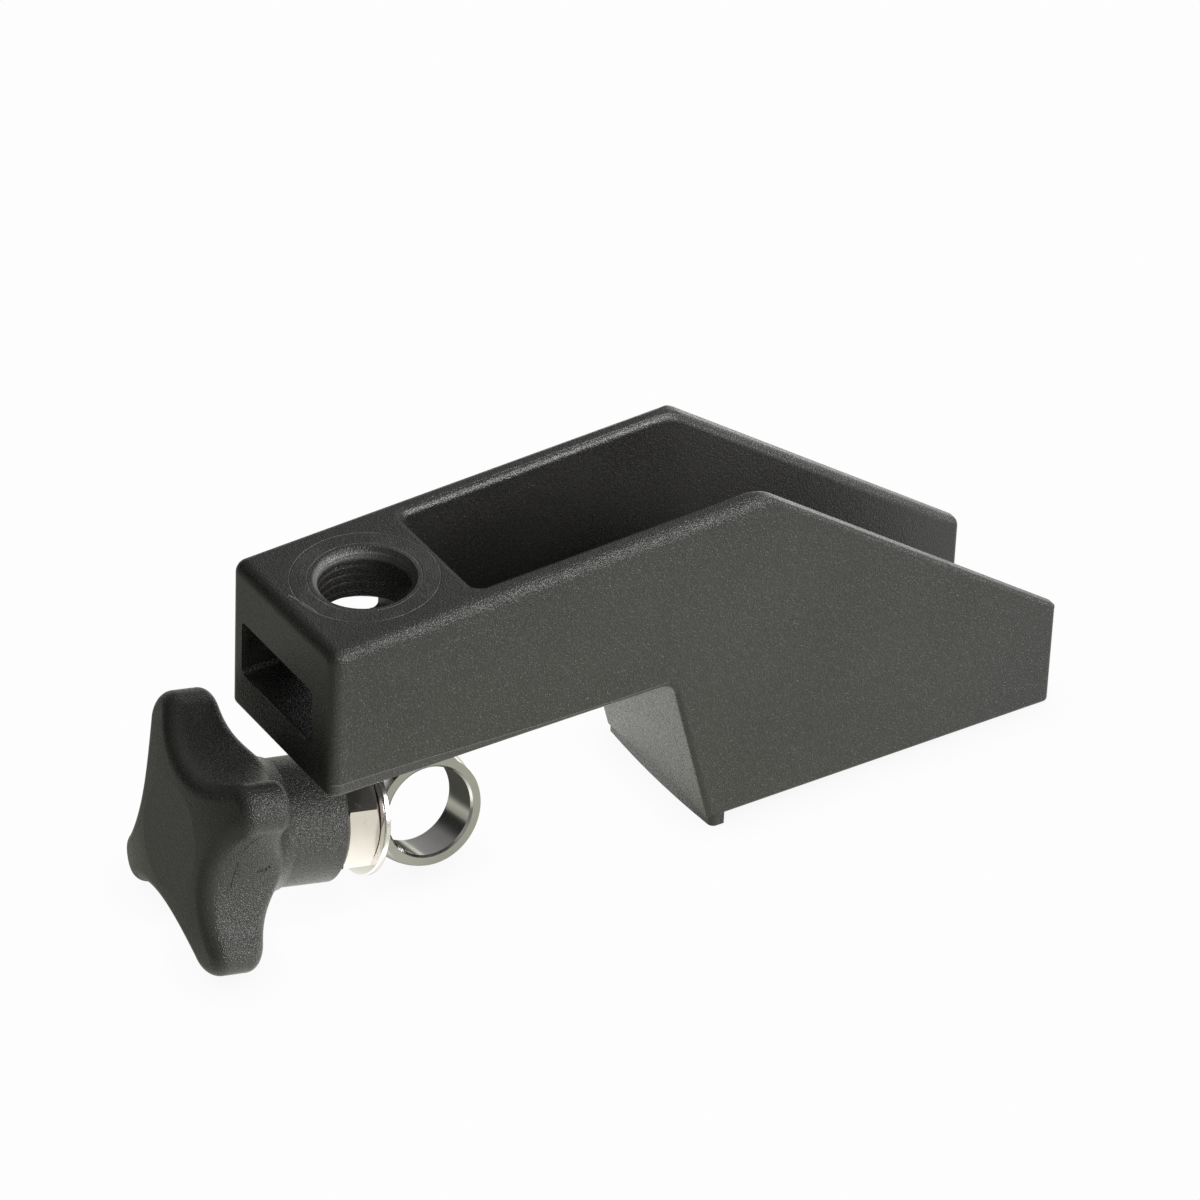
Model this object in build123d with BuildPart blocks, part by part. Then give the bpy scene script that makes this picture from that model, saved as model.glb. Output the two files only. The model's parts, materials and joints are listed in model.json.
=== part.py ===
"""Spigot clamp: a fork shaped body, and an eyebolt with washer, bush and four lobed knob.

Millimetres. X runs from the body's socket block to the open end of its fork and Z is
up. The origin is on the socket axis, at the underside of the arm. The eye hangs below
the arm and its bolt runs forward (-X) and up to the knob. The near side is -Y.
"""
from build123d import *
import os
from math import radians, sin, cos, sqrt

os.makedirs("parts", exist_ok=True)

overshoot = 1.0               # how far cutting tools start outside the material
spigot_bore_d = 16.2          # socket and eye, for a 16 mm lighting spigot

# ------------------------------------------------------------ fork body sizes
# Distances called "depth" are measured behind the front face.
body_length = 150.0
body_width = 34.0
half_width = body_width / 2
plate_t = 4.4                 # side plates of the fork at the block
plate_t_rear = 3.4            # and at the open end
bore_depth = 16.2             # socket axis
block_length = 30.4           # solid block that carries the socket
block_height = 29.3           # at the front face
peak_depth = 86.0             # highest point of the side plates
peak_height = 33.5
rear_top = -11.0              # top corner of the plates at the open end
deep_bottom = -32.0           # underside of the deep rear half
step_top_depth = 68.6         # step wall between the arm and the deep half
step_bottom_depth = 77.4
floor_t = 3.2                 # floors and step wall
seam_depth = 50.0             # where the two top edge roundings meet

# Roundings of the silhouette's corners
peak_r = 9.0
rear_top_r = 7.5
rear_bottom_r = 2.0
step_root_r = 3.5             # inside corner between the arm and the step wall

# Edge fillets
front_fillet = 2.2
top_fillet = 2.4              # plate tops up to the peak
rear_top_fillet = 0.8         # plate tops down the rear slope
bottom_fillet = 1.0
channel_corner_r = 2.0
rim_fillet = 1.5
rear_fillet = 1.0

# Stop lip under the step wall
lip_front_depth = 78.0        # front edge at the lip's ends
lip_rear_depth = 80.6
lip_drop = 1.85               # below the underside
lip_top = -31.0
lip_bow = 0.75                # forward bow at mid width
lip_corner_r = 1.2

# Slot in the block, open at the front face, and the window through its far wall
slot_half_w = 11.85
slot_offset = 1.25            # towards the wall with the window
slot_low, slot_high = 7.75, 18.5
slot_depth = 28.0
window_front_depth, window_rear_depth = 14.0, 29.3
window_low = 9.4
window_start = slot_offset + slot_half_w - 2.0   # y inside the slot
opening_corner_r = 1.0

# Countersink where the socket meets the slot's ceiling, and the socket's top chamfer
lead_height = 2.2
lead_width = 2.9
mouth_chamfer = 0.9

# --------------------------------------------- eyebolt, washer, bush and knob
# Names with "at", "start" or "end" are places along the bolt axis from the eye centre.
eye_centre = Vector(12.96, 1.77, -23.1)
bolt_pitch = 9.35             # degrees; the bolt rises towards the knob
bolt_yaw = -4.43
eye_roll = -13.49             # roll of the eye about the bolt
eye_ball_d = 21.6
eye_width = 8.5               # across the flats
eye_chamfer = 0.4

thread_d = 9.9                # M10, crest diameter of the stud
thread_root_d = 8.3
thread_pitch = 1.5
neck_d = 9.9
neck_start = 6.0              # inside the ball
stud_end = 42.0
stud_chamfer = 1.0            # length of the stud's tapered tip

washer_od, washer_id = 22.2, 10.6
washer_start, washer_end = 11.3, 12.5
washer_fillet = 0.3
thread_start = washer_end + 0.6

bush_start = 12.6
bush_end = 33.0
bush_bore_d = 10.0
bush_shank_r = 15.0 / 2
groove_start, groove_end = 4.5, 7.0   # from the hub's start
groove_depth = 1.0
hex_af = 18.8
hex_angle = -54.0
hex_corner_radius = hex_af / sqrt(3)
hex_face_inset = 0.15         # chamfer's edge inside the across flats radius
hex_chamfer_length = 1.35

hub_start = 18.9
hub_d_start, hub_d_end = 22.6, 22.2
hub_chamfer = 0.8
lobe_back_at, lobe_front_at = 36.9, 44.9   # at the lobes' rim
head_root_at = 31.0           # where the lobes meet the hub
dome_at = 48.3                # crown of the front
lobe_r = 24.9
tip_r = 4.7
valley_r = 13.6               # closest approach of the outline to the axis
lobe_angle = 43.6
lobe_count = 4
lobe_pitch = 360 / lobe_count
front_rim_fillet = 3.0
back_rim_fillet = 2.2


def x_at(depth):
    """X of a place behind the front face."""
    return depth - bore_depth


def top_z(depth):
    """Height of the plates' top edge ahead of the peak."""
    return block_height + (peak_height - block_height) * depth / peak_depth


# ------------------------------------------------------- bolt reference frame
pitch, yaw, roll = radians(bolt_pitch), radians(bolt_yaw), radians(eye_roll)
bolt_dir = Vector(-cos(pitch) * cos(yaw), -cos(pitch) * sin(yaw), sin(pitch))
near_dir = Vector(sin(yaw), -cos(yaw), 0)
up_dir = bolt_dir.cross(near_dir)
eye_dir = near_dir * cos(roll) - up_dir * sin(roll)   # axis of the eye's bore
bolt_axis = Axis(eye_centre, bolt_dir)
# Square to the bolt: local x is up, local y points to the far side
cross_plane = Plane(origin=eye_centre, x_dir=up_dir, z_dir=bolt_dir)
# Through the bolt: local x runs along it, local y is the radius
turning_plane = Plane(origin=eye_centre, x_dir=bolt_dir, z_dir=near_dir)


def circles(edges, diameter):
    """The circular edges of the given diameter."""
    return edges.filter_by(GeomType.CIRCLE).filter_by(
        lambda e: abs(e.radius - diameter / 2) < 0.01
    )


# ------------------------------------------------------------------ fork body
def make_channel_core():
    """Space between the plates: open at the top and rear, widening to the rear."""
    lean = (step_bottom_depth - step_top_depth) / -deep_bottom
    deep_floor = deep_bottom + floor_t
    wall_depth = step_top_depth + floor_t   # inner face of the step wall at z = 0
    above = 60
    with BuildPart() as core:
        with BuildSketch(Plane.XZ):
            with BuildLine():
                Polyline(
                    (x_at(block_length), above),
                    (x_at(block_length), floor_t),
                    (x_at(wall_depth - lean * floor_t), floor_t),
                    (x_at(wall_depth - lean * deep_floor), deep_floor),
                    (x_at(body_length), deep_floor),
                    (x_at(body_length), above),
                    close=True,
                )
            make_face()
        extrude(amount=half_width, both=True)
        # the plates thin slightly towards the open end
        with BuildSketch(Plane.XY.offset(-40)):
            with BuildLine():
                Polyline(
                    (x_at(block_length), half_width - plate_t),
                    (x_at(body_length), half_width - plate_t_rear),
                    (x_at(body_length), -half_width + plate_t_rear),
                    (x_at(block_length), -half_width + plate_t),
                    close=True,
                )
            make_face()
        extrude(amount=110, mode=Mode.INTERSECT)
        fillet(core.edges().filter_by(Axis.Z).group_by(Axis.X)[0], channel_corner_r)
    return core.part


def is_top_edge(edge):
    """Outer edge along the top of a plate, behind the front face's rounding."""
    middle = edge.center()
    return (
        abs(middle.Y) > half_width - 0.01
        and middle.X > x_at(8.0)
        and middle.Z > (5.0 if middle.X < 40 else 0.0)
    )


def is_low_edge(edge):
    """Outer edge along the arm's underside, the step wall or the deep bottom."""
    middle = edge @ 0.5
    on_arm_or_step = middle.Z < 0.5 and middle.X < x_at(step_bottom_depth) - 0.05
    on_side = abs(edge.center().Y) > half_width - 0.01
    return on_side and (on_arm_or_step or middle.Z < deep_bottom + 0.5)


def make_moulding(top_radius):
    """Outer form of the body, with its plates' top edges rounded to top_radius."""
    with BuildPart() as form:
        with BuildSketch(Plane.XZ) as outline:
            with BuildLine():
                Polyline(
                    (x_at(0), 0),
                    (x_at(0), block_height),
                    (x_at(peak_depth), peak_height),
                    (x_at(body_length), rear_top),
                    (x_at(body_length), deep_bottom),
                    (x_at(step_bottom_depth), deep_bottom),
                    (x_at(step_top_depth), 0),
                    close=True,
                )
            make_face()
            # the sketch's own y is the body's height
            corners = outline.vertices()
            peak = corners.sort_by(Axis.Y)[-1]
            rear_corners = corners.group_by(Axis.X)[-1].sort_by(Axis.Y)
            rear_high = rear_corners[-1]
            rear_low = rear_corners[0]
            fillet(peak, peak_r)
            fillet(rear_high, rear_top_r)
            fillet(rear_low, rear_bottom_r)
            step_root = outline.vertices().sort_by(
                lambda v: abs(v.X - x_at(step_top_depth)) + abs(v.Y)
            )[0]
            fillet(step_root, step_root_r)
        extrude(amount=half_width, both=True)

        fillet(form.edges().filter_by(Axis.Z).group_by(Axis.X)[0], front_fillet)
        fillet(form.faces().filter_by(Axis.Y).edges().filter_by(is_top_edge), top_radius)
        fillet(form.faces().filter_by(Axis.Y).edges().filter_by(is_low_edge), bottom_fillet)
    return form.part


def is_rim_edge(edge):
    """Edge of the channel's rim, round the block's end and along the plates."""
    start, middle, end = edge @ 0, edge @ 0.5, edge @ 1
    rear = x_at(body_length)
    if middle.X < x_at(peak_depth) - 8.0:
        lowest = top_z(block_length) - 1.0
    else:
        lowest = rear_top - 6.0
    lies_on_rear = abs(start.X - rear) < 0.1 and abs(end.X - rear) < 0.1
    return (
        abs(middle.Y) < half_width - plate_t_rear + 0.1
        and middle.X > x_at(block_length) - 0.2
        and middle.Z > lowest
        and max(start.X, end.X) < rear + 0.1
        and edge.length > 1.0
        and not lies_on_rear
    )


def is_socket_mouth(edge):
    """Circle where the socket opens on the block's top."""
    centre = edge.bounding_box().center()
    return centre.Z > 29.0 and centre.Y**2 + centre.X**2 < 0.5 and edge.length > 30.0


def make_clamp_body():
    # The plate tops are well rounded up to the peak and crisp down the rear slope.
    # The two forms meet on a plane square to the front slope, where their sections
    # are the same.
    seam = Plane(
        origin=(x_at(seam_depth), 0, top_z(seam_depth)),
        x_dir=(0, 1, 0),
        z_dir=Vector(peak_depth, 0, peak_height - block_height).normalized(),
    )
    with BuildPart() as front_half:
        add(make_moulding(top_fillet))
        split(bisect_by=seam, keep=Keep.BOTTOM)

    with BuildPart() as rear_half:
        add(make_moulding(rear_top_fillet))
        # a straight bar with the front slope's rounding, which fades out over the peak
        bar_height = 80
        with BuildSketch(seam) as bar:
            with Locations((0, -bar_height / 2)):
                Rectangle(body_width, bar_height)
            fillet(bar.vertices().group_by(Axis.Y)[-1], top_fillet)
        extrude(amount=130, mode=Mode.INTERSECT)

    channel_core = make_channel_core()

    with BuildPart() as body:
        add(front_half.part)
        add(rear_half.part)
        add(channel_core, mode=Mode.SUBTRACT)
        fillet(body.edges().filter_by(is_rim_edge), rim_fillet)
        # rounded ends of the plates
        rear_edges = body.edges().filter_by(Axis.Z).group_by(Axis.X)[-1]
        fillet(rear_edges.filter_by(lambda e: e.length > 6.0), rear_fillet)

        # stop lip
        lip_front, lip_rear = x_at(lip_front_depth), x_at(lip_rear_depth)
        with BuildSketch(Plane.XY.offset(deep_bottom - lip_drop)) as lip:
            with BuildLine():
                ThreePointArc(
                    (lip_front, -half_width),
                    (lip_front - lip_bow, 0),
                    (lip_front, half_width),
                )
                Polyline(
                    (lip_front, half_width),
                    (lip_rear, half_width),
                    (lip_rear, -half_width),
                    (lip_front, -half_width),
                )
            make_face()
            fillet(lip.vertices().group_by(Axis.X)[0], lip_corner_r)
        extrude(amount=lip_top - deep_bottom + lip_drop)

        # slot, open at the front face
        with BuildSketch(Plane.YZ.offset(x_at(0) - overshoot)):
            with Locations((slot_offset, (slot_low + slot_high) / 2)):
                RectangleRounded(2 * slot_half_w, slot_high - slot_low, opening_corner_r)
        extrude(amount=slot_depth + overshoot, mode=Mode.SUBTRACT)

        # window from the slot through the far side wall
        window_middle = x_at((window_front_depth + window_rear_depth) / 2)
        with BuildSketch(Plane.XZ.offset(-window_start)):
            with Locations((window_middle, (window_low + slot_high) / 2)):
                RectangleRounded(
                    window_rear_depth - window_front_depth,
                    slot_high - window_low,
                    opening_corner_r,
                )
        extrude(amount=-12.0, mode=Mode.SUBTRACT)

        # socket for the spigot, straight through the block
        with BuildSketch(Plane.XY.offset(-overshoot)):
            Circle(spigot_bore_d / 2)
        extrude(amount=40.0, mode=Mode.SUBTRACT)
        with BuildSketch(Plane.XZ):
            with BuildLine():
                Polyline(
                    (0, slot_high + lead_height),
                    (spigot_bore_d / 2, slot_high + lead_height),
                    (spigot_bore_d / 2 + lead_width, slot_high),
                    (0, slot_high),
                    close=True,
                )
            make_face()
        revolve(axis=Axis.Z, mode=Mode.SUBTRACT)
        chamfer(body.edges().filter_by(is_socket_mouth), mouth_chamfer)
    return body.part


# -------------------------------------------------------------------- eyebolt
def stud_profile():
    """Half section of the neck and thread, as (along the bolt, radius)."""
    crest, root = thread_d / 2, thread_root_d / 2
    points = [(neck_start, 0), (neck_start, neck_d / 2), (thread_start, neck_d / 2)]
    turn = thread_start
    while turn < stud_end - thread_pitch - 0.6:
        # fractions of the pitch: crest ends, root starts, root ends, crest starts
        points += [
            (turn + 0.10 * thread_pitch, crest),
            (turn + 0.47 * thread_pitch, root),
            (turn + 0.59 * thread_pitch, root),
            (turn + 0.96 * thread_pitch, crest),
        ]
        turn += thread_pitch
    points += [(stud_end - stud_chamfer, crest), (stud_end, root - 0.2), (stud_end, 0)]
    return points


def make_eyebolt():
    """Ball shaped eye with two flats and a through bore, on a threaded shank."""
    with BuildPart() as eyebolt:
        with BuildSketch(turning_plane):
            with BuildLine():
                Polyline(*stud_profile(), close=True)
            make_face()
        revolve(axis=bolt_axis)
        with Locations(Location(eye_centre)):
            Sphere(eye_ball_d / 2)
        # flats of the eye
        for side in (1, -1):
            flat = Plane(
                origin=eye_centre + eye_dir * (side * eye_width / 2),
                z_dir=eye_dir * side,
                x_dir=bolt_dir,
            )
            with BuildSketch(flat):
                Circle(eye_ball_d)
            extrude(amount=4.0, mode=Mode.SUBTRACT)
        # bore and its mouth chamfers
        bore_reach = 15.0
        eye_plane = Plane(origin=eye_centre, z_dir=eye_dir, x_dir=bolt_dir)
        with BuildSketch(eye_plane.offset(-bore_reach)):
            Circle(spigot_bore_d / 2)
        extrude(amount=2 * bore_reach, mode=Mode.SUBTRACT)
        chamfer(circles(eyebolt.edges(), spigot_bore_d), eye_chamfer)
    return eyebolt.part


# --------------------------------------------------------------------- washer
def make_washer():
    with BuildPart() as washer:
        with BuildSketch(cross_plane.offset(washer_start)):
            Circle(washer_od / 2)
            Circle(washer_id / 2, mode=Mode.SUBTRACT)
        extrude(amount=washer_end - washer_start)
        fillet(circles(washer.edges(), washer_od), washer_fillet)
    return washer.part


# ----------------------------------------------------- bush moulded in the knob
# Outside of the bush's grooved shank, as (along the bolt, radius). The knob's seat
# has the same outline.
shank_profile = [
    (hub_start - 1.0, 0),
    (hub_start - 1.0, bush_shank_r),
    (hub_start + groove_start, bush_shank_r),
    (hub_start + groove_start, bush_shank_r - groove_depth),
    (hub_start + groove_end, bush_shank_r - groove_depth),
    (hub_start + groove_end, bush_shank_r),
    (bush_end, bush_shank_r),
]


def make_knob_bush():
    with BuildPart() as bush:
        with BuildSketch(cross_plane.offset(bush_start)):
            RegularPolygon(hex_af / 2, 6, major_radius=False, rotation=hex_angle)
        extrude(amount=hub_start - bush_start)
        # turned chamfer on the corners of the clamping face
        outside = hex_corner_radius + 0.2
        with BuildSketch(turning_plane):
            with BuildLine():
                Polyline(
                    (bush_start - 0.1, 0),
                    (bush_start - 0.1, hex_af / 2 - hex_face_inset),
                    (bush_start + hex_chamfer_length, outside),
                    (hub_start + 1.0, outside),
                    (hub_start + 1.0, 0),
                    close=True,
                )
            make_face()
        revolve(axis=bolt_axis, mode=Mode.INTERSECT)
        # anchoring shank
        with BuildSketch(turning_plane):
            with BuildLine():
                Polyline(*shank_profile, (bush_end, 0), close=True)
            make_face()
        revolve(axis=bolt_axis)
        with BuildSketch(cross_plane.offset(bush_start - overshoot)):
            Circle(bush_bore_d / 2)
        extrude(amount=bush_end - bush_start + 2 * overshoot, mode=Mode.SUBTRACT)
    return bush.part


# ----------------------------------------------------------------------- knob
tip_centre = lobe_r - tip_r   # distance of the tip arcs' centres from the axis
# the same for the valley arcs, which are tangent to both neighbouring tip arcs
valley_centre = (tip_centre**2 - (valley_r - tip_r) ** 2) / (
    2 * (sqrt(0.5) * tip_centre - valley_r + tip_r)
)


def polar(distance, angle):
    return Vector(distance * cos(radians(angle)), distance * sin(radians(angle)))


def tangent_point(angle, side):
    """Where the tip arc of the lobe at angle runs into the valley on that side."""
    tip = polar(tip_centre, angle)
    valley = polar(valley_centre, angle + lobe_pitch / 2 * side)
    return tip + (valley - tip).normalized() * tip_r


def places(edge):
    """Places along the bolt of an edge's start, middle and end."""
    return [(edge @ t - eye_centre).dot(bolt_dir) for t in (0, 0.5, 1)]


def is_front_rim(edge):
    return min(places(edge)) > lobe_front_at - 0.3


def is_back_rim(edge):
    along = places(edge)
    return head_root_at + 0.6 < min(along) and max(along) < lobe_back_at + 0.5


def make_knob():
    with BuildPart() as knob:
        # outline of the lobes
        blank_start = head_root_at - 4.0
        with BuildSketch(cross_plane.offset(blank_start)):
            with BuildLine():
                for i in range(lobe_count):
                    angle = lobe_angle + lobe_pitch * i
                    valley_start = tangent_point(angle, 1)
                    ThreePointArc(tangent_point(angle, -1), polar(lobe_r, angle), valley_start)
                    ThreePointArc(
                        valley_start,
                        polar(valley_r, angle + lobe_pitch / 2),
                        tangent_point(angle + lobe_pitch, -1),
                    )
            make_face()
        extrude(amount=dome_at - blank_start)

        # domed front, and a back that runs down to the hub
        outside = lobe_r + 0.5
        back_root = head_root_at - 1.0
        with BuildSketch(turning_plane):
            with BuildLine():
                ThreePointArc((dome_at, 0), (dome_at - 0.35, 13.0), (lobe_front_at, outside))
                Line((lobe_front_at, outside), (lobe_back_at, outside))
                Spline(
                    (lobe_back_at, outside),
                    (lobe_back_at - 1.1, 19.7),
                    (lobe_back_at - 2.6, 14.9),
                    (back_root, 11.6),
                )
                Polyline((back_root, 11.6), (back_root, 0), (dome_at, 0))
            make_face()
        revolve(axis=bolt_axis, mode=Mode.INTERSECT)
        fillet(knob.edges().filter_by(is_front_rim), front_rim_fillet)
        fillet(knob.edges().filter_by(is_back_rim), back_rim_fillet)

        # hub
        with BuildSketch(turning_plane):
            with BuildLine():
                Polyline(
                    (hub_start, 0),
                    (hub_start, hub_d_start / 2 - hub_chamfer),
                    (hub_start + hub_chamfer, hub_d_start / 2),
                    (lobe_back_at, hub_d_end / 2),
                    (lobe_back_at, 0),
                    close=True,
                )
            make_face()
        revolve(axis=bolt_axis)

        # seat of the bush, and clearance for the stud's end
        clearance_r = bush_bore_d / 2 + 0.3
        clearance_end = stud_end + 2.0
        with BuildSketch(turning_plane):
            with BuildLine():
                Polyline(
                    *shank_profile,
                    (bush_end, clearance_r),
                    (clearance_end, clearance_r),
                    (clearance_end, 0),
                    close=True,
                )
            make_face()
        revolve(axis=bolt_axis, mode=Mode.SUBTRACT)
    return knob.part


pieces = {
    "clamp_body": make_clamp_body,
    "eyebolt": make_eyebolt,
    "washer": make_washer,
    "knob_bush": make_knob_bush,
    "knob": make_knob,
}
for name, make_piece in pieces.items():
    piece = make_piece()
    piece.label = name
    export_step(piece, f"parts/{name}.step")
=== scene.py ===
import json
import math
from functools import reduce

import bmesh
import bpy
from mathutils import Matrix, Vector

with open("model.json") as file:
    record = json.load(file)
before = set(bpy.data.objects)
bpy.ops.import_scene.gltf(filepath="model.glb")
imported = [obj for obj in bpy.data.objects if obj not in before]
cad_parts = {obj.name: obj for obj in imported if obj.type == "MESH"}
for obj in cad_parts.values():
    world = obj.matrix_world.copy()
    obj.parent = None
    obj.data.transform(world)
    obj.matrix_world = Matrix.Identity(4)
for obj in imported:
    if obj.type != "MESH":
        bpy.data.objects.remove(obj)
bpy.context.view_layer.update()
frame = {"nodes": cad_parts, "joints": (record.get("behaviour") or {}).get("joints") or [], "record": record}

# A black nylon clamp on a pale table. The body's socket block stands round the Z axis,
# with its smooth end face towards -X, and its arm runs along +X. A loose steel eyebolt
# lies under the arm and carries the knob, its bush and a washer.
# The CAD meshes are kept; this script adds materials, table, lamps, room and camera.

MM = 0.001

# The eyebolt is slightly turned, so its axes come from the frame.
joints = {joint["name"]: joint for joint in frame["joints"]}
mounts = {mount["name"]: mount for mount in reversed(frame["record"]["mounts"])}
BOLT_ORIGIN = Vector(joints["knob_turn"]["pos_m"])      # centre of the eye
BOLT_AXIS = Vector(joints["knob_turn"]["axis"]).normalized()
EYE_AXIS = Vector(mounts["eye_bore"]["axis"]).normalized()


# --------------------------------------------------------------- node helpers
class Nodes:
    """The emptied node tree of a material or world, with short calls to fill it.

    add, mul and max take any number of values and nest from the right.
    """

    def __init__(self, owner):
        owner.use_nodes = True
        self.tree = owner.node_tree
        self.tree.nodes.clear()
        self.coords = self.node("ShaderNodeTexCoord").outputs
        self.position = self.coords["Object"]

    def node(self, kind, inputs=None, **settings):
        made = self.tree.nodes.new(kind)
        for key, value in settings.items():
            setattr(made, key, value)
        for key, value in (inputs or {}).items():
            self.put(made.inputs[key], value)
        return made

    def put(self, socket, value):
        """Links a socket, or sets a plain value; colours gain an alpha of 1."""
        if isinstance(value, bpy.types.NodeSocket):
            self.tree.links.new(value, socket)
        elif isinstance(value, (tuple, Vector)):
            values = list(value)
            if len(socket.default_value) == 4 and len(values) == 3:
                values.append(1.0)
            socket.default_value = values
        else:
            socket.default_value = value

    def math(self, operation, *values, clamp=False):
        return self.node("ShaderNodeMath", dict(enumerate(values)),
                         operation=operation, use_clamp=clamp).outputs[0]

    def nest(self, operation, values):
        return reduce(lambda inner, value: self.math(operation, value, inner), reversed(values))

    def add(self, *values):
        return self.nest("ADD", values)

    def mul(self, *values):
        return self.nest("MULTIPLY", values)

    def max(self, *values):
        return self.nest("MAXIMUM", values)

    def sub(self, a, b):
        return self.math("SUBTRACT", a, b)

    def abs(self, value):
        return self.math("ABSOLUTE", value)

    def invert(self, value, clamp=False):
        return self.math("SUBTRACT", 1.0, value, clamp=clamp)

    def scaled(self, value, by):
        return self.mul(value, by)

    def lift(self, value, base, gain):
        return self.add(base, self.scaled(value, by=gain))

    def weighted(self, *pairs):
        """Sum of (value, weight) pairs."""
        return self.add(*[self.scaled(value, by=weight) for value, weight in pairs])

    def vec(self, operation, a, b=None, scale=None):
        inputs = {0: a, 1: b, "Scale": scale}
        inputs = {key: value for key, value in inputs.items() if value is not None}
        made = self.node("ShaderNodeVectorMath", inputs, operation=operation)
        is_number = operation in ("DOT_PRODUCT", "LENGTH")
        return made.outputs["Value" if is_number else "Vector"]

    def length(self, vector):
        return self.vec("LENGTH", vector)

    def combine(self, x, y, z):
        return self.node("ShaderNodeCombineXYZ", {0: x, 1: y, 2: z}).outputs[0]

    def split(self, vector):
        return self.node("ShaderNodeSeparateXYZ", {0: vector}).outputs

    def noise(self, scale, detail=2.0, rough=0.55, vector=None):
        return self.node("ShaderNodeTexNoise", {
            "Vector": self.position if vector is None else vector,
            "Scale": scale, "Detail": detail, "Roughness": rough}).outputs["Fac"]

    def ramp(self, value, over, to=(0.0, 1.0)):
        """Maps the range `over` smoothly to the range `to`, clamped."""
        return self.node("ShaderNodeMapRange", {
            "Value": value, "From Min": over[0], "From Max": over[1],
            "To Min": to[0], "To Max": to[1]}, interpolation_type="SMOOTHSTEP").outputs["Result"]

    def fall(self, value, over):
        return self.ramp(value, over, to=(1.0, 0.0))

    def band(self, value, centre, over):
        """1 at the centre value, falling to 0 over the given distances from it."""
        return self.fall(self.abs(self.sub(value, centre)), over)

    def mix(self, factor, a, b):
        return self.node("ShaderNodeMix", {0: factor, 6: a, 7: b}, data_type="RGBA").outputs[2]

    def bump(self, height, distance):
        return self.node("ShaderNodeBump", {
            "Strength": 1.0, "Distance": distance, "Height": height}).outputs[0]

    def show(self, shader, output="ShaderNodeOutputMaterial"):
        self.node(output, {"Surface": shader.outputs[0]})

    def principled(self, **inputs):
        """Ends a material; an underscore stands for the space in an input's name."""
        named = {key.replace("_", " "): value for key, value in inputs.items()}
        self.show(self.node("ShaderNodeBsdfPrincipled", named))


def along_and_across(m, offset, axis):
    """Distance along an axis, and the rest of the offset, square to it."""
    along = m.vec("DOT_PRODUCT", offset, axis)
    return along, m.vec("SUBTRACT", offset, m.vec("SCALE", axis, scale=along))


def from_bolt(m):
    return m.vec("SUBTRACT", m.position, BOLT_ORIGIN)


def strokes(m, points, width):
    """1 along a line through the points, falling to 0 at width from it (all in mm)."""
    def segment(a, b):
        start = Vector(a) * MM
        span = Vector(b) * MM - start
        offset = m.vec("SUBTRACT", m.position, start)
        share = m.math("DIVIDE", m.vec("DOT_PRODUCT", offset, span), span.length_squared,
                       clamp=True)
        away = m.length(m.vec("SUBTRACT", offset, m.vec("SCALE", span, scale=share)))
        return m.fall(away, over=(width * MM * 0.3, width * MM))

    return reduce(m.max, [segment(a, b) for a, b in zip(points, points[1:])])


# --------------------------------------------------------------- moulded nylon
# lighter colour of the painted glints on the nylon
GLINT_PAINT_COLOUR = (0.20, 0.20, 0.185)
# lighter colour of the painted edge highlight
EDGE_HIGHLIGHT_COLOUR = (0.12, 0.12, 0.115)
MARK_COLOUR = (0.19, 0.19, 0.18)
CUT_COLOUR = (0.004, 0.004, 0.004)
OLIVE_CAST = (1.02, 1.04, 0.9)          # factors on the light tone


def moulded_nylon(name, dark, light, rough, grain, sparkle, marks):
    """Black glass-filled nylon: moulded grain, mottling, painted glints as lighter specks, a painted edge
    highlight along outer edges.
    """
    mat = bpy.data.materials.new(name)
    m = Nodes(mat)
    fine = m.noise(scale=3900.0, detail=1.0, rough=0.6)
    mid = m.noise(scale=1900.0)
    soft = m.noise(scale=260.0, rough=0.5)
    broad = m.noise(scale=42.0, detail=3.0)
    cloud = m.noise(scale=11.0, rough=0.5)
    tone = m.weighted((fine, 0.5), (mid, 0.2), (broad, 0.3))
    colour = m.mix(m.ramp(tone, over=(0.34, 0.66)), dark, light)
    # slow drift towards a faint olive cast
    olive = tuple(level * cast for level, cast in zip(light, OLIVE_CAST))
    colour = m.mix(m.ramp(cloud, over=(0.4, 0.7), to=(0.0, 0.35)), colour, olive)

    # painted glints: some of the cells are painted lighter and made glossier, standing in for sparkle
    # highlights
    cells = m.node("ShaderNodeTexVoronoi", {"Vector": m.position, "Scale": 2300.0}, feature="F1")
    centre = m.fall(cells.outputs["Distance"], over=(0.05, 0.30))
    picked = m.ramp(m.split(cells.outputs["Color"])[0], over=(0.72, 0.95))
    painted_glint = m.mul(centre, picked)
    colour = m.mix(m.scaled(painted_glint, by=sparkle), colour, GLINT_PAINT_COLOUR)

    # outer edges, where a bevelled normal leaves the true one, are painted lighter in patches: a painted
    # edge highlight
    bevel = m.node("ShaderNodeBevel", {"Radius": 0.00045}, samples=4).outputs[0]
    normal = m.node("ShaderNodeNewGeometry").outputs["Normal"]
    edge = m.invert(m.vec("DOT_PRODUCT", bevel, normal), clamp=True)
    painted_edge_highlight = m.mul(m.ramp(edge, over=(0.02, 0.25)),
                 m.ramp(m.noise(scale=310.0, detail=4.0, rough=0.7), over=(0.42, 0.68)))
    colour = m.mix(m.scaled(painted_edge_highlight, by=0.5), colour, EDGE_HIGHLIGHT_COLOUR)

    rough = m.lift(m.math("SUBTRACT", mid, 0.5), base=rough, gain=0.30)
    rough = m.sub(rough, m.scaled(painted_glint, by=0.18))
    height = m.weighted((fine, 1.35), (mid, 0.7), (soft, 0.12))
    colour, rough, height = marks(m, colour, rough, height)
    m.principled(Base_Color=colour, Roughness=rough, IOR=1.53, Normal=m.bump(height, grain))
    return mat


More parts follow.
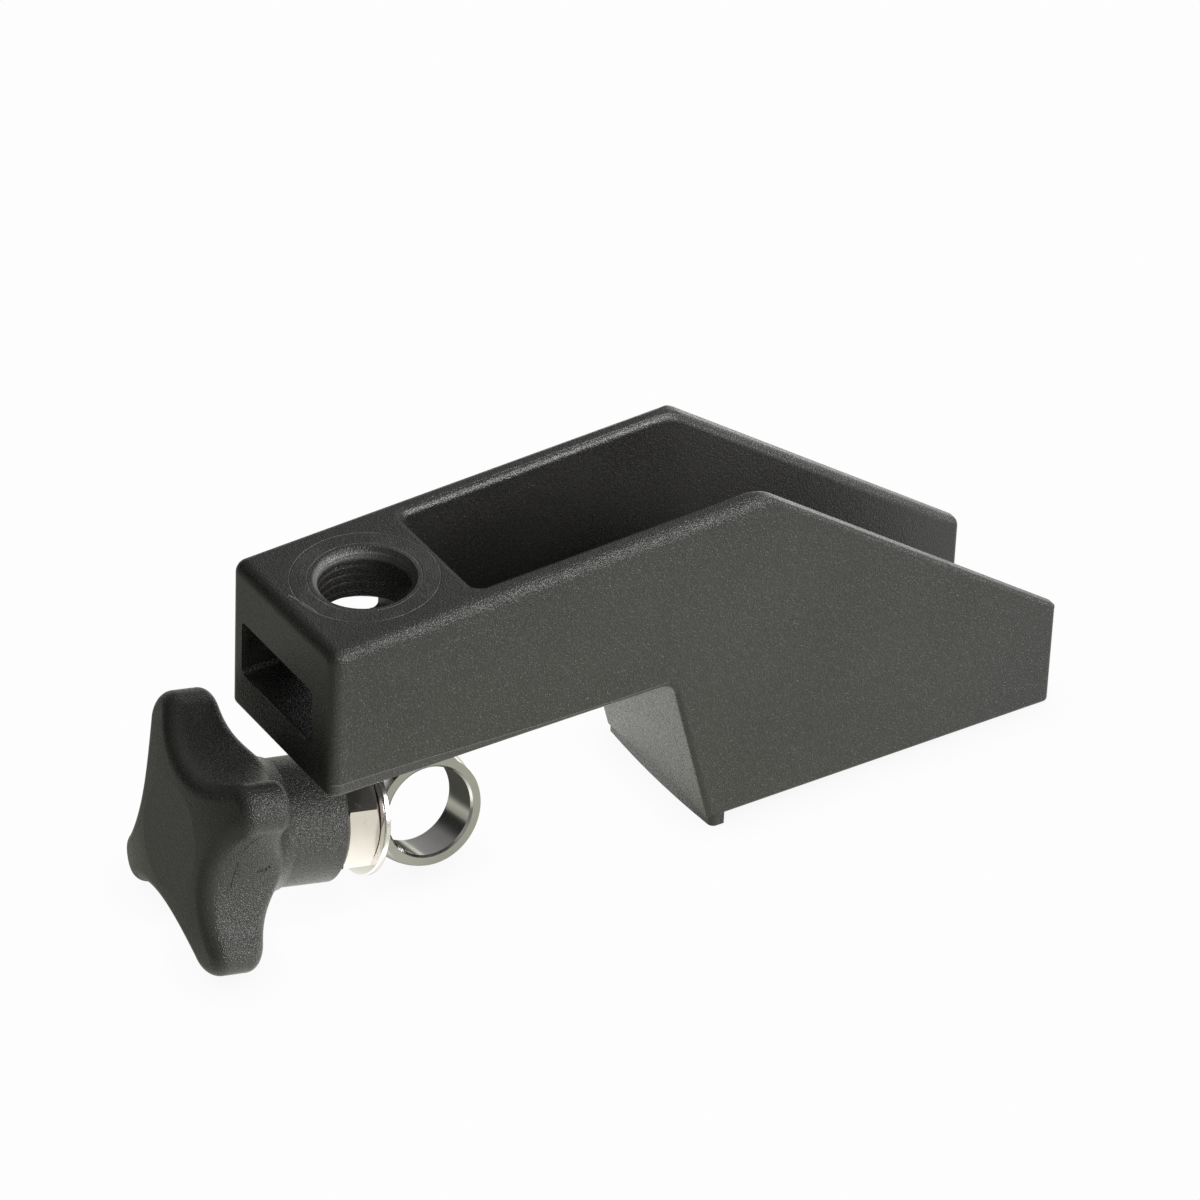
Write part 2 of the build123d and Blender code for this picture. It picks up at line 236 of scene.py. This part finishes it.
# Scratches on the body, in mm
TOP_SCRATCH = [(-13.34, 2.44, 29.44), (-12.5, -0.78, 29.48), (-11.81, -4.24, 29.51)]
FACE_SCRATCH = [(-16.2, 8.13, 7.71), (-16.2, -1.67, 7.72)]
FACE_SCRATCH_END = [(-16.2, -6.7, 7.6), (-16.2, -8.4, 7.2)]
SIDE_SCRATCH = [(-13.86, 12.95, 8.4), (-11.04, 13.0, 8.7)]

RING_RADII = (0.00975, 0.01275)         # witness rings on the block's top
RING_WIDTH = 0.00017
RIDGE_PITCH = 0.00165                   # ridges down the socket's wall
# the socket's ridges are painted paler mostly on this side: a painted highlight where the light catches them
RIDGE_LIT_SIDE = Vector((-0.62, 0.78, 0.0))   # ridges show most on this side


def top_marks(m, radius, z):
    """Witness rings round the socket, and the rubbed ring where the shoulder bears."""
    patchy = m.ramp(m.noise(scale=130.0, detail=3.0, rough=0.6), over=(0.40, 0.62))
    top = m.ramp(z, over=(0.0284, 0.0288))
    rings = reduce(m.max, [m.band(radius, centre, over=(RING_WIDTH * 0.3, RING_WIDTH))
                           for centre in RING_RADII])
    rings = m.mul(m.mul(rings, top), m.lift(patchy, base=0.25, gain=0.75))
    rubbed = m.ramp(m.noise(scale=75.0, detail=4.0, rough=0.65), over=(0.45, 0.65))
    bearing = m.mul(m.ramp(radius, over=(0.0128, 0.0120)), top, rubbed)
    return rings, bearing


def socket_marks(m, flat, radius, z):
    """Ridges down the socket's wall, painted paler mostly on one side as a painted highlight, and a pale
    ring painted at its mouth as a painted highlight.
    """
    wall = m.mul(m.fall(radius, over=(0.00835, 0.0086)), m.ramp(z, over=(0.003, 0.006)))
    wave = m.math("SINE", m.mul(z, 2 * math.pi / RIDGE_PITCH))
    # this factor paints the ridges paler on the side where the light falls: painted highlight
    side = m.ramp(m.vec("DOT_PRODUCT", m.vec("NORMALIZE", flat), RIDGE_LIT_SIDE), over=(0.0, 0.75))
    ridge = m.mul(m.mul(m.ramp(wave, over=(0.45, 1.0)), wall),
                  m.lift(side, base=0.06, gain=0.6))
    # a pale ring round the socket's mouth: a painted highlight on its rim
    mouth_highlight = m.mul(m.ramp(radius, over=(0.0091, 0.0087)),
                  m.ramp(z, over=(0.0278, 0.0286)), m.ramp(z, over=(0.0299, 0.0293)))
    return ridge, mouth_highlight


def parting_marks(m, x, y, z):
    """Parting line along the arm's two sides, a raised ridge whose pale colour is a painted highlight, and a
    paler area below it.
    """
    def on_sides():
        return m.mul(m.ramp(m.abs(y), over=(0.0158, 0.0163)), m.ramp(x, over=(0.052, 0.049)))

    line_z = m.ramp(x, over=(-0.0162, 0.040), to=(0.0026, 0.0010))
    line = m.mul(m.band(z, line_z, over=(0.00006, 0.00016)), on_sides())
    below = m.mul(m.ramp(m.sub(line_z, z), over=(-0.00005, 0.0001)), on_sides())
    return line, below


def body_grain(m, x, y, z, height):
    """Calms the grain on the -X face and in the channel, but not on the step's wall."""
    side_distance = m.abs(y)
    face = m.ramp(x, over=(-0.0152, -0.0161))
    channel = m.mul(m.ramp(side_distance, over=(0.0139, 0.0136)),
                    m.ramp(x, over=(0.0135, 0.0150)))
    step = m.mul(m.mul(m.ramp(side_distance, over=(0.0168, 0.0162)),
                       m.ramp(z, over=(0.0, -0.001))),
                 m.mul(m.ramp(x, over=(0.0500, 0.0515)), m.ramp(x, over=(0.0635, 0.0625))))
    channel_calm = 0.45
    channel = m.mul(channel, m.sub(channel_calm, m.scaled(step, by=channel_calm)))
    calm = m.max(m.scaled(face, by=0.60), channel)
    return m.mul(height, m.add(m.invert(calm), m.scaled(step, by=0.9)))


def body_marks(m, colour, rough, height):
    x, y, z = m.split(m.position)
    flat = m.combine(x, y, 0.0)
    radius = m.length(flat)
    rings, bearing = top_marks(m, radius, z)
    ridge, mouth_highlight = socket_marks(m, flat, radius, z)
    line, below = parting_marks(m, x, y, z)
    on_top = strokes(m, TOP_SCRATCH, width=0.17)
    on_face = m.max(strokes(m, FACE_SCRATCH, width=0.16), strokes(m, FACE_SCRATCH_END, width=0.16))
    on_side = strokes(m, SIDE_SCRATCH, width=0.14)

    # how far each mark lightens the nylon; on the parting line, the socket's ridges and its mouth ring the
    # lightening is a painted highlight
    pale = m.max(m.scaled(on_top, by=0.9), m.scaled(on_face, by=0.55), m.scaled(on_side, by=0.5))
    for mask, strength in ((line, 0.55), (rings, 0.85), (ridge, 0.30), (mouth_highlight, 0.7),
                           (bearing, 0.16), (below, 0.10)):
        pale = m.max(pale, m.scaled(mask, by=strength))
    colour = m.mix(pale, colour, MARK_COLOUR)
    rough = m.sub(rough, m.scaled(pale, by=0.12))

    height = body_grain(m, x, y, z, height)
    height = m.add(height, m.scaled(ridge, by=0.5))
    height = m.sub(height, m.scaled(rings, by=2.2))
    height = m.add(height, m.scaled(line, by=1.2))
    return colour, rough, height


# Damage on the knob, in mm
KNOB_SCRATCH = [(-27.24, -13.96, -4.8), (-27.91, -11.81, -7.42), (-28.76, -10.28, -9.79),
                (-29.58, -8.75, -14.49), (-30.63, -8.6, -18.86)]
KNOB_PIT = [(-23.6, -9.1, -16.5), (-24.0, -9.1, -16.7)]
KNOB_PIT_TAIL = [(-24.7, -9.0, -16.7), (-25.5, -9.0, -16.8)]


def knob_marks(m, colour, rough, height):
    """A long dark scratch and a small pit; the dome at the knob's end is smoother."""
    along = m.vec("DOT_PRODUCT", from_bolt(m), BOLT_AXIS)
    cut = m.mul(strokes(m, KNOB_SCRATCH, width=0.20),
                m.ramp(m.noise(scale=420.0), over=(0.38, 0.52)))
    pit = m.max(strokes(m, KNOB_PIT, width=0.62), strokes(m, KNOB_PIT_TAIL, width=0.34))
    pit = m.mul(pit, m.ramp(m.noise(scale=900.0), over=(0.36, 0.50)))
    dark = m.max(m.scaled(cut, by=0.85), m.scaled(pit, by=0.95))
    colour = m.mix(dark, colour, CUT_COLOUR)
    height = m.sub(height, m.scaled(dark, by=1.6))
    dome = m.ramp(along, over=(0.0440, 0.0462))
    height = m.mul(height, m.invert(m.scaled(dome, by=0.55)))
    return colour, rough, height


# ---------------------------------------------------------------------- metals
STEEL_DULL, STEEL_BRIGHT = (0.66, 0.65, 0.62), (0.80, 0.79, 0.76)
# darker olive tone of the eye's flat faces: a painted reflection, standing in for the dimmer, olive light
# they mirror
FLAT_PAINTED_REFLECTION = (0.34, 0.34, 0.30)
STEEL_ROOT = (0.16, 0.15, 0.135)


def tool_rings(m, across, axis, along, around, density, detail, rough):
    """Noise drawn out into rings round an axis; `around` sets how much it varies round them."""
    vector = m.vec("ADD", m.vec("SCALE", m.vec("NORMALIZE", across), scale=around),
                   m.vec("SCALE", axis, scale=m.mul(along, density)))
    return m.noise(scale=1.0, detail=detail, rough=rough, vector=vector)


def stainless(name):
    """Polished steel: turning lines on the eye and shank, darker in the thread's roots; the eye's flats
    carry a painted reflection.
    """
    mat = bpy.data.materials.new(name)
    m = Nodes(mat)
    offset = from_bolt(m)
    along, across = along_and_across(m, offset, BOLT_AXIS)
    eye_along, eye_across = along_and_across(m, offset, EYE_AXIS)
    eye_radius = m.length(eye_across)
    on_eye = m.fall(m.length(offset), over=(0.0109, 0.0112))
    in_bore = m.mul(m.fall(eye_radius, over=(0.00835, 0.0086)), on_eye)
    on_flat = m.mul(m.ramp(m.abs(eye_along), over=(0.00418, 0.00424)), on_eye)

    ring_density = 5200.0
    flat_rings = m.noise(scale=1.0, detail=3.0, rough=0.7,
                         vector=m.combine(m.mul(eye_radius, ring_density), 0.0, 0.0))
    bore_rings = tool_rings(m, eye_across, EYE_AXIS, eye_along,
                            around=2.2, density=4200.0, detail=4.0, rough=0.65)
    shank_rings = tool_rings(m, across, BOLT_AXIS, along,
                             around=1.2, density=3600.0, detail=3.0, rough=0.6)

    haze = m.noise(scale=240.0, detail=4.0, rough=0.6)
    colour = m.mix(haze, STEEL_DULL, STEEL_BRIGHT)
    # the eye's flats are painted darker and olive: painted reflection
    colour = m.mix(m.scaled(on_flat, by=0.85), colour, FLAT_PAINTED_REFLECTION)
    root = m.mul(m.fall(m.length(across), over=(0.0042, 0.0048)), m.invert(on_eye))
    colour = m.mix(m.scaled(root, by=0.6), colour, STEEL_ROOT)
    rough = m.lift(haze, base=0.10, gain=0.10)
    rough = m.add(rough, m.scaled(on_flat, by=0.16))
    height = m.weighted((m.mul(flat_rings, on_flat), 0.5), (m.mul(bore_rings, in_bore), 1.0),
                        (m.mul(shank_rings, m.invert(on_eye)), 0.5))
    height = m.add(height, m.scaled(m.noise(scale=900.0), by=0.15))
    m.principled(Base_Color=colour, Roughness=rough, Metallic=1.0,
                 Normal=m.bump(height, distance=0.000006))
    return mat


def plated(name, dull, bright, rough, line_density, tarnish):
    """Bright plating with fine tool lines round the bolt and tarnished spots."""
    mat = bpy.data.materials.new(name)
    m = Nodes(mat)
    along, across = along_and_across(m, from_bolt(m), BOLT_AXIS)
    vector = m.vec("ADD", m.vec("SCALE", m.vec("NORMALIZE", across), scale=1.0),
                   m.combine(m.mul(along, line_density),
                             m.mul(m.length(across), line_density), 0.0))
    line = m.noise(scale=1.0, detail=4.0, rough=0.65, vector=vector)
    haze = m.noise(scale=330.0, detail=5.0, rough=0.62)
    spot = m.ramp(m.noise(scale=520.0, detail=5.0, rough=0.7), over=(0.60, 0.78))
    colour = m.mix(haze, dull, bright)
    colour = m.mix(m.scaled(spot, by=0.5), colour, tarnish)
    m.principled(Base_Color=colour, Metallic=1.0,
                 Roughness=m.add(rough, m.weighted((haze, 0.10), (spot, 0.15))),
                 Normal=m.bump(line, distance=0.000005))
    return mat


# ------------------------------------------------------------ material of each piece
materials = {
    "clamp_body": moulded_nylon(
        "Body_moulded_nylon", dark=(0.016, 0.0155, 0.0145), light=(0.032, 0.0312, 0.029),
        rough=0.27, grain=0.000150, sparkle=0.45, marks=body_marks),
    "knob": moulded_nylon(
        "Knob_moulded_nylon", dark=(0.021, 0.021, 0.020), light=(0.042, 0.042, 0.039),
        rough=0.24, grain=0.000185, sparkle=0.9, marks=knob_marks),
    "eyebolt": stainless("Eyebolt_polished_stainless"),
    "washer": plated(
        "Washer_zinc_plate", dull=(0.84, 0.83, 0.80), bright=(0.94, 0.93, 0.91),
        rough=0.12, line_density=4200.0, tarnish=(0.45, 0.42, 0.38)),
    "knob_bush": plated(
        "Bush_nickel_plate", dull=(0.86, 0.80, 0.76), bright=(0.95, 0.90, 0.87),
        rough=0.16, line_density=3000.0, tarnish=(0.42, 0.34, 0.28)),
}
for piece, mat in materials.items():
    ob = frame["nodes"][piece]
    if not ob.material_slots:
        ob.data.materials.append(mat)
    for slot in ob.material_slots:
        slot.material = mat

# ----------------------------------------------------------------------- table
# The bolt assembly and the body rest on one plane, which rises slightly towards +X.
TABLE_POINT, TABLE_SLOPE = Vector((0.0627, 0.0, -0.03388)), 0.0262
TABLE_GAP = 0.00005
TABLE_HALF, TABLE_CELLS = 6.0, 24

# light levels
TABLE_WHITE = 0.985                     # as the camera sees it
TABLE_LIT, TABLE_FAR = 0.74, 0.35       # as the pieces see it, towards +X and -X
TABLE_UNDER = 0.07                      # under the arm, where the body shades it
TABLE_TINT = (1.0, 1.0, 0.885)
POOL_TINT = (1.0, 1.0, 0.985)
CAMERA_TINT = (1.0, 1.0, 1.0)


def build_table():
    bm = bmesh.new()

    def vertex(i, j):
        x = -TABLE_HALF + 2 * TABLE_HALF * i / TABLE_CELLS
        y = -TABLE_HALF + 2 * TABLE_HALF * j / TABLE_CELLS
        z = TABLE_POINT.z + (x - TABLE_POINT.x) * TABLE_SLOPE - TABLE_GAP
        return bm.verts.new((x, y, z))

    steps = range(TABLE_CELLS + 1)
    grid = [[vertex(i, j) for j in steps] for i in steps]
    for row, following in zip(grid, grid[1:]):
        for j in range(TABLE_CELLS):
            bm.faces.new((row[j], following[j], following[j + 1], row[j + 1]))
    mesh = bpy.data.meshes.new("Table")
    bm.to_mesh(mesh)
    bm.free()
    table = bpy.data.objects.new("Table", mesh)
    bpy.context.scene.collection.objects.link(table)
    return table


def pale_table(name):
    """Plain white with a contact shade to the camera; softer light to everything else."""
    mat = bpy.data.materials.new(name)
    m = Nodes(mat)
    contact = m.node("ShaderNodeAmbientOcclusion", {"Distance": 0.008}, samples=12).outputs["AO"]
    direct = m.sub(TABLE_WHITE, m.scaled(m.invert(contact, clamp=True), by=0.075))

    def pool(centre, over, peak):
        """A round pool of light, fading out over the given distances."""
        away = m.length(m.vec("SUBTRACT", m.combine(x, y, 0.0), centre))
        return m.ramp(away, over, to=(peak, 0.0))

    x, y, _ = m.split(m.position)
    lit = m.ramp(x, over=(-0.030, 0.030), to=(TABLE_FAR, TABLE_LIT))
    front = m.ramp(y, over=(-0.012, -0.040))
    lit = m.max(lit, m.scaled(front, by=TABLE_LIT * 0.75))
    from_middle = m.length(m.vec("SUBTRACT", m.position, (0.06, -0.02, 0.0)))
    lit = m.mul(lit, m.ramp(from_middle, over=(0.20, 0.7), to=(1.0, 0.4)))
    under = m.mul(m.mul(m.ramp(x, over=(-0.006, 0.006)), m.ramp(x, over=(0.043, 0.030))),
                  m.mul(m.ramp(y, over=(-0.022, -0.008)), m.ramp(y, over=(0.040, 0.020))))
    lit = m.add(m.mul(lit, m.invert(under)), m.scaled(under, by=TABLE_UNDER))
    arm_pool = pool((0.060, 0.014, 0.0), over=(0.012, 0.034), peak=0.75)
    back_pool = pool((0.27, 0.16, 0.0), over=(0.05, 0.20), peak=1.3)
    block_pool = pool((-0.011, -0.017, 0.0), over=(0.010, 0.036), peak=0.9)
    for light in (arm_pool, back_pool, block_pool):
        lit = m.add(lit, light)

    to_camera = m.node("ShaderNodeLightPath").outputs["Is Camera Ray"]
    strength = m.node("ShaderNodeMix", {0: to_camera, 2: lit, 3: direct}, data_type="FLOAT")
    neutral = m.max(m.ramp(x, over=(0.075, 0.14)),
                    m.math("ADD", arm_pool, block_pool, clamp=True))
    tint = m.mix(neutral, TABLE_TINT, POOL_TINT)
    m.show(m.node("ShaderNodeEmission", {
        "Strength": strength.outputs[0], "Color": m.mix(to_camera, tint, CAMERA_TINT)}))
    return mat


build_table().data.materials.append(pale_table("Pale_table"))

# ------------------------------------------------------------------------ room
ROOM_LOW, ROOM_HIGH = 0.46, 0.56        # brightness near the horizon and overhead
BRIGHT_SIDE = Vector((0.75, -0.55, 0.2)).normalized()
CARD_SIDE = Vector((-0.67, 0.68, 0.27)).normalized()


def build_world():
    """A grey room, brighter on one side, with a dark card for the metal to mirror."""
    world = bpy.data.worlds.new("Studio")
    bpy.context.scene.world = world
    m = Nodes(world)
    ray = m.vec("NORMALIZE", m.coords["Generated"])
    room = m.ramp(m.split(ray)[2], over=(-0.05, 0.5), to=(ROOM_LOW, ROOM_HIGH))
    side = m.ramp(m.vec("DOT_PRODUCT", ray, BRIGHT_SIDE), over=(-0.6, 0.8), to=(0.42, 1.3))
    card = m.ramp(m.vec("DOT_PRODUCT", ray, CARD_SIDE), over=(0.80, 0.95), to=(1.0, 0.12))
    background = m.node("ShaderNodeBackground", {"Strength": m.mul(m.mul(room, side), card)})
    m.show(background, output="ShaderNodeOutputWorld")


build_world()

# ----------------------------------------------------------------------- lamps
LAMP_TARGET = Vector((0.035, 0.0, 0.0))
# name, direction from the target, distance, width, height, radiance
LAMPS = [
    ("Key_softbox", (0.50, -0.74, 0.46), 1.5, 0.62, 0.95, 12.5),
    ("Back_softbox", (0.70, 0.70, 0.25), 1.8, 0.7, 0.25, 1.5),
]


def softbox(name, direction, distance, width, height, radiance):
    """Rectangular area lamp aimed at the target."""
    light = bpy.data.lights.new(name, "AREA")
    light.shape = "RECTANGLE"
    light.size, light.size_y = width, height
    light.energy = radiance * math.pi * width * height
    lamp = bpy.data.objects.new(name, light)
    bpy.context.scene.collection.objects.link(lamp)
    outward = Vector(direction).normalized()
    lamp.location = LAMP_TARGET + outward * distance
    lamp.rotation_mode = "QUATERNION"
    lamp.rotation_quaternion = (-outward).to_track_quat("-Z", "Y")


for lamp_row in LAMPS:
    softbox(*lamp_row)

# ---------------------------------------------------------------------- camera
CAMERA_PLACE = (-0.539915, -0.886765, 0.748707)
HEADING = math.radians(33.5263)         # from +Y towards +X
DIP = math.radians(34.8072)             # below the horizon
ROLL = math.radians(-2.4903)


def build_camera():
    forward = Vector((math.sin(HEADING) * math.cos(DIP), math.cos(HEADING) * math.cos(DIP),
                      -math.sin(DIP)))
    level_right = forward.cross(Vector((0, 0, 1))).normalized()
    level_down = forward.cross(level_right)
    right = math.cos(ROLL) * level_right + math.sin(ROLL) * level_down
    down = -math.sin(ROLL) * level_right + math.cos(ROLL) * level_down
    data = bpy.data.cameras.new("Camera")
    data.sensor_width = 36.0
    data.lens = 225.0
    data.clip_start, data.clip_end = 0.05, 60.0
    camera = bpy.data.objects.new("Camera", data)
    bpy.context.scene.collection.objects.link(camera)
    pose = Matrix.Identity(4)
    for i in range(3):
        pose[i] = (right[i], -down[i], -forward[i], CAMERA_PLACE[i])
    camera.matrix_world = pose
    bpy.context.scene.camera = camera


build_camera()

view = bpy.context.scene.view_settings
view.view_transform = "Standard"
view.look = "None"
view.exposure = 0.0
view.gamma = 1.0
